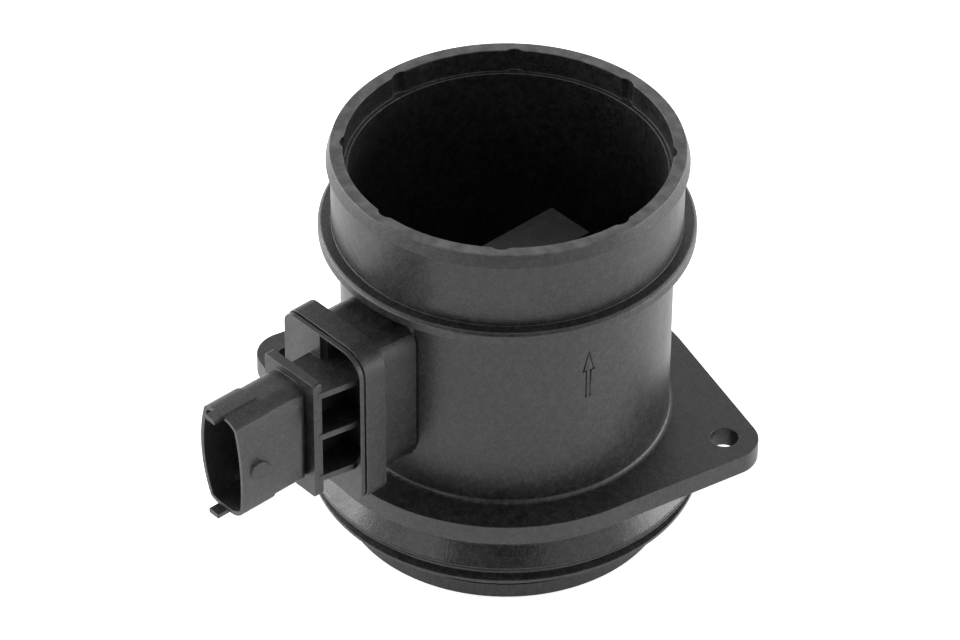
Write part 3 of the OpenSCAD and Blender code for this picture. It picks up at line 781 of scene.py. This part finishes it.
    @staticmethod
    def _waved(tree: bpy.types.GeometryNodeTree, given: bpy.types.NodeOutputs,
               row: bpy.types.NodeSocket) -> bpy.types.NodeSocket:
        """Builds the wave of the wires, turned over in every second wire, and their thickness.

        Args:
            tree: the node tree.
            given: the group's inputs.
            row: the wires as curves.

        Returns:
            The socket with the wires as meshes.
        """
        parts, sides = 6.0, 6
        fine = add_node(tree, "GeometryNodeResampleCurve", {
            "Curve": row, "Length": math_node(tree, "DIVIDE", given["Pitch"], parts)}, mode="LENGTH")
        parity = add_node(tree, "GeometryNodeInputNamedAttribute", {"Name": "parity"}, data_type="FLOAT")
        twice = math_node(tree, "MULTIPLY", parity.outputs["Attribute"], 2.0)
        sign = math_node(tree, "SUBTRACT", 1.0, twice)
        where = add_node(tree, "GeometryNodeInputPosition")
        y = add_node(tree, "ShaderNodeSeparateXYZ", {"Vector": where.outputs[0]}).outputs["Y"]
        turn = math_node(tree, "MULTIPLY", math_node(tree, "DIVIDE", y, given["Pitch"]), math.pi)
        wave = math_node(tree, "MULTIPLY", math_node(tree, "SINE", turn), given["Swing"])
        rise = add_node(tree, "ShaderNodeCombineXYZ", {"Z": math_node(tree, "MULTIPLY", wave, sign)})
        waved = add_node(tree, "GeometryNodeSetPosition", {
            "Geometry": fine.outputs["Curve"], "Offset": rise.outputs[0]})
        section = add_node(tree, "GeometryNodeCurvePrimitiveCircle", {
            "Resolution": sides, "Radius": given["Wire radius"]})
        wire = add_node(tree, "GeometryNodeCurveToMesh", {
            "Curve": waved.outputs["Geometry"], "Profile Curve": section.outputs["Curve"],
            "Fill Caps": True})
        return wire.outputs["Mesh"]


@dataclass
class Assembly:
    """A sub-assembly: it takes its CAD nodes, builds its pieces and dresses them."""

    nodes: dict[str, bpy.types.Object]
    finishes: Finishes

    def place(self, piece: bpy.types.Object, slot: Slot, *replaced: str) -> bpy.types.Object:
        """Dresses a new piece, rides it on the body and hides the nodes that it stands for.

        Args:
            piece: the new piece.
            slot: its finish.
            *replaced: the CAD nodes that it replaces.

        Returns:
            The same piece.
        """
        self.finishes.dress(piece, slot)
        if replaced:
            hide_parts(*replaced)
        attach(piece, BODY)
        LOG.info("%s: %d faces", piece.name, len(piece.data.polygons))
        return piece

    def soften(self, node: str, slot: Slot, rounding: Rounding, *shifts: Shift) -> bpy.types.Object:
        """Replaces a moulded CAD node by its copy with rounded edges.

        Args:
            node: the CAD node's name.
            slot: the finish.
            rounding: how its edges are rounded.
            *shifts: moves of some of its vertices.

        Returns:
            The new piece.
        """
        piece = link(f"{node}_moulding", self.nodes[node].data.copy())
        for shift in shifts:
            shift.apply(piece.data)
        rounding.apply(piece.data)
        smooth(piece)
        return self.place(piece, slot, node)

    def dress(self, slot: Slot, *nodes: str) -> None:
        """Gives CAD nodes their finish as they are.

        Args:
            slot: the finish.
            *nodes: the nodes' names.
        """
        for node in nodes:
            self.finishes.dress(self.nodes[node], slot)
            LOG.info("%s: dressed as %s", node, slot.value)


@dataclass
class Duct(Assembly):
    """The flow housing with its seal ring, end ring, screen and honeycomb."""

    barrel_r: float = 39.1
    stub_r: float = 39.4
    neck_r: float = 40.5
    screen_r: float = 35.0
    screen_round: float = 0.1
    wire_seat: float = 0.2
    flange_top: float = 29.0
    foot_round: float = 1.1
    foot_sunk: float = 0.3
    bead_r: float = 42.0
    bead_edge: float = 0.8
    bead_ramp: float = 2.1
    # The rim's top band is lightened: partly wear, partly a painted highlight
    rim_r: tuple[float, float] = (37.5, 43.0)
    rim_band: float = 0.3
    rim_wear_and_highlight: float = 1.0
    # Painted highlight on the land below the seal, where its upward chamfer catches the light
    land_r: tuple[float, float] = (39.7, 40.1)
    land_z: tuple[float, float] = (4.3, 5.7)
    land_painted_highlight: float = 0.6
    neck_half: float = 10.9
    neck_z: tuple[float, float] = (37.3, 77.1)
    neck_root: float = 36.5
    neck_spare: float = 1.0
    neck_round: float = 0.9
    arrow: Zone = Zone((36.0, -12.0, 57.0), (39.6, -8.0, 71.0))
    hub_wall: float = 2.6
    seal_gap: float = 0.02

    def build(self) -> None:
        """Builds and dresses every piece of the duct."""
        self._housing()
        self._foot_round()
        self._seal()
        self.soften("end_ring", Slot.HOUSING, Rounding(radius=0.12))
        self.dress(Slot.HOUSING, "flow_straightener")
        self._screen()

    def _housing(self) -> None:
        """Rounds the duct's edges, with a wider round where the neck grows out of the barrel."""
        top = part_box("flow_housing")[1][2] / MM
        wall = (self.barrel_r - 2 * NEAR, self.barrel_r + 2 * NEAR)
        foot = band((self.flange_top - 2 * NEAR, self.flange_top + self.foot_round + 2 * NEAR),
                    (self.barrel_r - NEAR, self.barrel_r + self.foot_round))
        half = self.neck_half + self.neck_spare
        low, high = self.neck_z[0] - self.neck_spare, self.neck_z[1] + self.neck_spare
        root = Zone((-half, -WIDE, low), (half, -self.neck_root, high), self.neck_round, segments=4,
                    ring=wall)
        edge = top - self.bead_edge
        belt = band((edge - NEAR, edge + NEAR), (self.bead_r - NEAR, self.bead_r + NEAR))
        piece = self.soften("flow_housing", Slot.HOUSING,
                            Rounding(radius=0.2, zones=(self.arrow, foot, root)),
                            Shift(belt, (0.0, 0.0, -self.bead_ramp)))
        # Rim top: partly wear, partly a painted highlight
        mark_wear_and_painted_light(piece, band((top - self.rim_band, top + NEAR), self.rim_r), self.rim_wear_and_highlight)
        # Painted highlight on the land's chamfer
        mark_wear_and_painted_light(piece, band(self.land_z, self.land_r), self.land_painted_highlight)

    def _screen(self) -> None:
        """Turns the inlet screen's flat rim and weaves its wires in it."""
        box_low, box_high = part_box("inlet_screen")
        low, high, rim = box_low[2] / MM, box_high[2] / MM, box_high[0] / MM
        corners = ((self.screen_r, low), (rim, low), (rim, high), (self.screen_r, high))
        outline = rounded_outline([(r, z, self.screen_round) for r, z in corners], steps=2)
        piece = lathe("inlet_screen_weave", outline, segments=144)
        screen = WovenScreen(reach=self.screen_r + self.wire_seat, height=(low + high) / 2)
        screen.weave(piece, self.finishes.materials[Slot.STEEL])
        smooth(piece)
        self.place(piece, Slot.STEEL, "inlet_screen")

    def _foot_round(self) -> None:
        """Turns the round between the barrel and the flange's top, sunk a little in both."""
        r, z, bend, sunk = self.barrel_r, self.flange_top, self.foot_round, self.foot_sunk
        steps = 8
        arc = [Vector((r + bend * (1 - math.sin(a)), z + bend * (1 - math.cos(a))))
               for a in (math.pi / 2 * k / steps for k in range(steps + 1))]
        back = [Vector((r - sunk, z - sunk)), Vector((r + bend, z - sunk))]
        piece = lathe("barrel_foot_round", back + arc + [Vector((r - sunk, z + bend))])
        smooth(piece)
        self.place(piece, Slot.HOUSING)

    def _seal(self) -> None:
        """Turns the rubber seal: hub, lower lip, deep groove, double upper lip and flared top."""
        box_low, box_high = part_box("inlet_seal")
        foot, step, rim = box_low[2] / MM, box_high[2] / MM, box_high[0] / MM
        hub = self.stub_r + self.hub_wall
        neck, under = self.neck_r + self.seal_gap, step + self.seal_gap
        base = [(self.stub_r, foot, 0), (hub, foot, 0.5), (hub, foot + 2.4, 0.5)]
        lower_lip = [(rim - 0.8, foot + 2.8, 0.2), (rim - 0.6, foot + 3.0, 0.1),
                     (rim - 0.6, foot + 3.7, 0.15)]
        groove = [(rim - 2.4, foot + 4.5, 0.2), (rim - 2.4, foot + 6.0, 0.3)]
        double_lip = [(rim - 0.3, step - 0.4, 0.05), (rim, step - 0.25, 0.08), (rim, step - 0.05, 0.06),
                      (rim - 0.35, step + 0.2, 0.08), (rim - 0.1, step + 0.5, 0.08),
                      (rim - 0.1, step + 0.7, 0.08), (rim - 0.35, step + 0.95, 0.1)]
        flare = [(rim - 3.1, step + 5.1, 1.5), (rim - 4.4, step + 7.6, 0.8), (neck, step + 7.8, 0)]
        inside = [(neck, under, 0), (self.stub_r, under, 0)]
        piece = lathe("inlet_seal_moulding",
                      rounded_outline(base + lower_lip + groove + double_lip + flare + inside))
        smooth(piece)
        self.place(piece, Slot.RUBBER, "inlet_seal")


@dataclass
class Insert(Assembly):
    """The sensor insert: body, covers, electronics, terminals and temperature probe."""

    # Painted light: the cap's face that turns to -Y is lightened where the lamps fall on it
    cap_face: Zone = Zone((-15, -57.15, 30), (15, -57.05, 80))
    cap_face_painted_light: float = 0.45
    # Painted light: the arm's top is lightened where light falls into the bore from above
    arm_top: Zone = Zone((-8, -42, 60), (8, 36, 80))
    arm_top_painted_light: float = 0.35

    def build(self) -> None:
        """Builds and dresses every piece of the insert."""
        body = self.soften("module_body", Slot.MODULE, Rounding(radius=0.15))
        # Painted light on the cap's -Y face
        mark_wear_and_painted_light(body, self.cap_face, self.cap_face_painted_light)
        # Painted light on the arm's top
        mark_wear_and_painted_light(body, self.arm_top, self.arm_top_painted_light)
        self.dress(Slot.MODULE, "electronics_cover", "bypass_cover", "chip_holder")
        self.dress(Slot.RUBBER, "module_seal")
        self.dress(Slot.PLATE, "carrier_plate")
        self.dress(Slot.CERAMIC, "circuit_board")
        self.dress(Slot.CHIP, "evaluation_chip", "supply_capacitor", "signal_capacitor", "trim_resistor",
                   "sensor_chip", "temperature_probe")
        self.dress(Slot.WIRE, "terminal_wires", "chip_wires")
        self.dress(Slot.STEEL, "probe_lead_outer", "probe_lead_inner")
        self.dress(Slot.CONTACT, *(f"terminal_{i}" for i in range(1, 6)))


@dataclass(frozen=True)
class Softbox:
    """An area lamp: where it stands, how large it is, and how strong."""

    name: str
    azimuth: float
    elevation: float
    distance: float
    size: tuple[float, float]
    power: float

    def build(self, target: Vector) -> None:
        """Makes the lamp, turned to a target.

        Args:
            target: the point that it lights, in metres.
        """
        lamp = bpy.data.lights.new(self.name, "AREA")
        lamp.shape = "RECTANGLE"
        lamp.size, lamp.size_y = self.size
        lamp.energy = self.power
        item = link(self.name, lamp)
        item.location = target + direction(self.azimuth, self.elevation) * self.distance
        item.rotation_euler = (target - item.location).to_track_quat("-Z", "Y").to_euler()


@dataclass(frozen=True)
class Shade:
    """A darker region of the room: where it is, how wide, and its level."""

    name: str
    azimuth: float
    elevation: float
    inner: float
    outer: float
    level: float

    def fade(self, tree: bpy.types.NodeTree, way: bpy.types.NodeSocket) -> bpy.types.NodeSocket:
        """Builds the region's level as nodes.

        Args:
            tree: the world's node tree.
            way: the socket with the direction that is looked in.

        Returns:
            The socket with the level: the region's own inside its inner angle, and 1 past the outer.
        """
        centre = direction(self.azimuth, self.elevation)
        along = add_node(tree, "ShaderNodeVectorMath", {0: way, 1: centre}, operation="DOT_PRODUCT",
                         label=self.name)
        edge, full = (math.cos(math.radians(angle)) for angle in (self.outer, self.inner))
        return add_node(tree, "ShaderNodeMapRange", {
            "Value": along.outputs["Value"], "From Min": edge, "From Max": full, "To Min": 1.0,
            "To Max": self.level}).outputs["Result"]


def direction(azimuth: float, elevation: float) -> Vector:
    """Gives the unit vector towards an azimuth and elevation in degrees, where azimuth 0 looks along +Y."""
    a, e = math.radians(azimuth), math.radians(elevation)
    return Vector((math.sin(a) * math.cos(e), -math.cos(a) * math.cos(e), math.sin(e)))


@dataclass
class Studio:
    """The camera at the photograph's place, the pale floor, the white surroundings and the lamps."""

    target: tuple[float, float, float] = (-4.2, -4.57, 52.18)
    azimuth: float = 47.4
    elevation: float = 38.617
    roll: float = 0.401
    distance: float = 1095.25
    lens: float = 173.79
    sensor: float = 36.0
    nearest: float = 0.01
    floor_size: float = 12.0
    room_light: float = 0.5
    seen_white: float = 1.3
    shades: tuple[Shade, ...] = (
        Shade("Ceiling", 0.0, 90.0, 30.0, 60.0, 0.5),
        Shade("Open side", 40.0, 32.0, 21.0, 29.0, 0.06),
        Shade("Gap between walls", -20.0, 22.0, 4.0, 8.0, 0.3),
    )
    floor_colour: tuple[float, float, float, float] = (0.93, 0.93, 0.93, 1.0)
    floor_glow: float = 1.05
    # Painted shadow: the floor's glow drops to painted_shadow_glow near the part, over painted_shadow_reach
    painted_shadow_glow: float = 0.6
    glow_shown: float = 0.76
    painted_shadow_reach: tuple[float, float] = (0.043, 0.075)
    softboxes: tuple[Softbox, ...] = (
        Softbox("Left softbox", -60.0, 12.0, 1.2, (1.2, 0.5), 14.0),
        Softbox("Right softbox", 148.0, 4.0, 1.2, (1.2, 0.6), 16.0),
        Softbox("Strip light", 4.0, 24.0, 1.2, (0.45, 0.2), 0.9),
        Softbox("Top softbox", 47.0, 85.0, 1.6, (1.2, 1.2), 3.0),
    )

    def build(self) -> None:
        """Makes the whole studio."""
        bpy.context.scene.view_settings.view_transform = "Standard"
        self._camera()
        self._surroundings()
        self._floor()
        for box in self.softboxes:
            box.build(Vector(self.target) * MM)

    def _camera(self) -> None:
        """Sets the camera that matches the photograph."""
        data = bpy.data.cameras.new("Camera")
        data.lens = self.lens
        data.sensor_width = self.sensor
        data.clip_start = self.nearest
        item = link("Camera", data)
        back = direction(self.azimuth, self.elevation)
        right = Vector((0.0, 0.0, 1.0)).cross(back).normalized()
        up = back.cross(right)
        c, s = math.cos(math.radians(self.roll)), math.sin(math.radians(self.roll))
        right, up = right * c + up * s, up * c - right * s
        place = Matrix((right, up, back)).transposed().to_4x4()
        place.translation = Vector(self.target) * MM + back * self.distance * MM
        item.matrix_world = place
        bpy.context.scene.camera = item

    @staticmethod
    def _seen(tree: bpy.types.NodeTree) -> bpy.types.NodeSocket:
        """Gives a mask that is 1 for camera, glossy and transmission rays, and 0 for all others.

        Args:
            tree: the node tree of the world or of the floor's material.

        Returns:
            The socket with the mask.
        """
        path = add_node(tree, "ShaderNodeLightPath")
        seen = path.outputs["Is Camera Ray"]
        for label in ("Is Glossy Ray", "Is Transmission Ray"):
            seen = math_node(tree, "MAXIMUM", seen, path.outputs[label])
        return seen

    def _white_mix(self, tree: bpy.types.NodeTree, plain: bpy.types.NodeSocket,
                   white: bpy.types.NodeSocket) -> bpy.types.NodeSocket:
        """Shows white to camera, glossy and transmission rays, and the plain shader to all others.

        Args:
            tree: the world's node tree.
            plain: the shader that lights the part.
            white: the shader that is seen.

        Returns:
            The mixed shader.
        """
        mix = add_node(tree, "ShaderNodeMixShader", {"Fac": self._seen(tree), 1: plain, 2: white})
        return mix.outputs["Shader"]

    def _surroundings(self) -> None:
        """Makes the room around the part: white walls, a greyer ceiling and one dark side."""
        world = bpy.data.worlds.new("White room")
        world.use_nodes = True
        tree = world.node_tree
        tree.nodes.clear()
        way = add_node(tree, "ShaderNodeTexCoord").outputs["Generated"]
        level, *others = (shade.fade(tree, way) for shade in self.shades)
        for fade in others:
            level = math_node(tree, "MULTIPLY", level, fade)
        plain, white = (
            add_node(tree, "ShaderNodeBackground", {"Color": level, "Strength": strength}).outputs[0]
            for strength in (self.room_light, self.seen_white))
        add_node(tree, "ShaderNodeOutputWorld", {"Surface": self._white_mix(tree, plain, white)})
        bpy.context.scene.world = world

    def _floor(self) -> None:
        """Lays the pale floor that the part stands on, with a painted shadow: its glow is lower near the
        part.
        """
        half = self.floor_size / 2
        mesh = bpy.data.meshes.new("Floor")
        corners = [(-half, -half, 0), (half, -half, 0), (half, half, 0), (-half, half, 0)]
        mesh.from_pydata(corners, [], [(0, 1, 2, 3)])
        floor = link("Floor", mesh)
        material, tree, shader = new_material("White floor")
        spot = add_node(tree, "ShaderNodeTexCoord").outputs["Object"]
        away = add_node(tree, "ShaderNodeVectorMath", {0: spot}, operation="LENGTH").outputs["Value"]
        near, far = self.painted_shadow_reach
        # Painted shadow: the glow falls off towards the part; camera rays see at least glow_shown of it
        fade = add_node(tree, "ShaderNodeMapRange", {
            "Value": away, "From Min": near, "From Max": far, "To Min": self.painted_shadow_glow}).outputs["Result"]
        camera_ray = add_node(tree, "ShaderNodeLightPath").outputs["Is Camera Ray"]
        level = math_node(tree, "MAXIMUM", fade, math_node(tree, "MULTIPLY", camera_ray, self.glow_shown))
        feed(tree, shader, {
            "Base Color": self.floor_colour, "Roughness": 0.9, "Specular IOR Level": 0.1,
            "Emission Color": math_node(tree, "MULTIPLY", level, self._seen(tree)),
            "Emission Strength": self.floor_glow})
        mesh.materials.append(material)


def main() -> None:
    logging.basicConfig(level=logging.INFO, format="%(name)s %(message)s")
    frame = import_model()
    finishes = Finishes()
    Studio().build()
    for assembly in (Duct, Insert):
        assembly(frame["nodes"], finishes).build()


if __name__ == "__main__":
    main()
